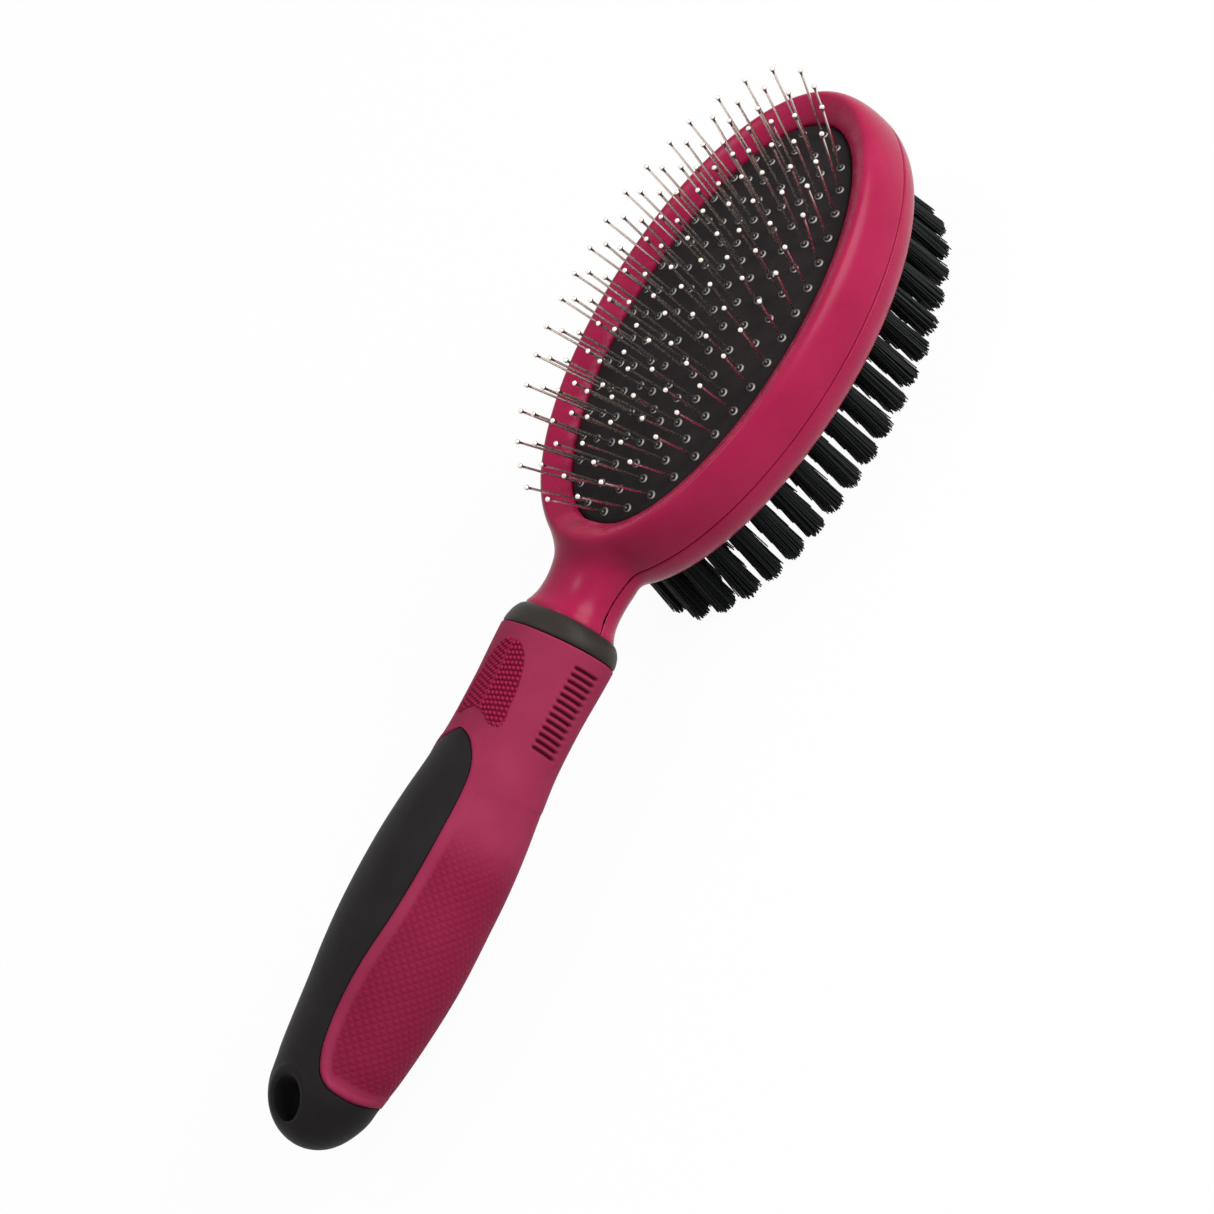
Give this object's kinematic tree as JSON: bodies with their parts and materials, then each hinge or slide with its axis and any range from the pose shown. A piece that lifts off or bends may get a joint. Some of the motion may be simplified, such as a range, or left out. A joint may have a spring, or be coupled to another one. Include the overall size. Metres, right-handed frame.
{
  "type": "double-sided pet brush",
  "caption": "Hand brush for pet coats: ball-tipped pins on an air cushion on one face, bristle tufts on the other, and a soft contoured handle with a hang hole.",
  "frame": {"origin": "centre of the bounding box at the plane of the trimmed bristle tips", "axes": "+X from the butt towards the tip of the head, +Z out of the pin side, bristles point along -Z, Y across the head"},
  "size_m": [0.2256, 0.0608, 0.0511],
  "materials": {
    "head_plastic": "raspberry moulded plastic, satin gloss",
    "grip_rubber": "raspberry soft-touch overmoulding, matte",
    "core_plastic": "black soft-touch, fine matte",
    "cushion_rubber": "black rubber, matte",
    "pad_plastic": "black moulded plastic",
    "pin_steel": "bright steel wire with rounded ball tips",
    "nylon": "black nylon filament"
  },
  "bodies": {
    "brush_body": {"front_shell": "head_plastic", "back_shell": "head_plastic", "air_cushion": "cushion_rubber", "cushion_tray": "pad_plastic", "bristle_plate": "pad_plastic", "bristle_field": "nylon", "collar_ring": "core_plastic", "grip_sleeve": "grip_rubber", "handle_core": "core_plastic"},
    "pin_bed": {"pin_field": "pin_steel"}
  },
  "joints": [
    {"name": "cushion_press", "type": "slide", "parent": "brush_body", "child": "pin_bed", "axis": [0, 0, -1], "range_m": [0, 0.0025], "stiffness_N_per_m": 3000, "deforming": ["air_cushion"]}
  ]
}
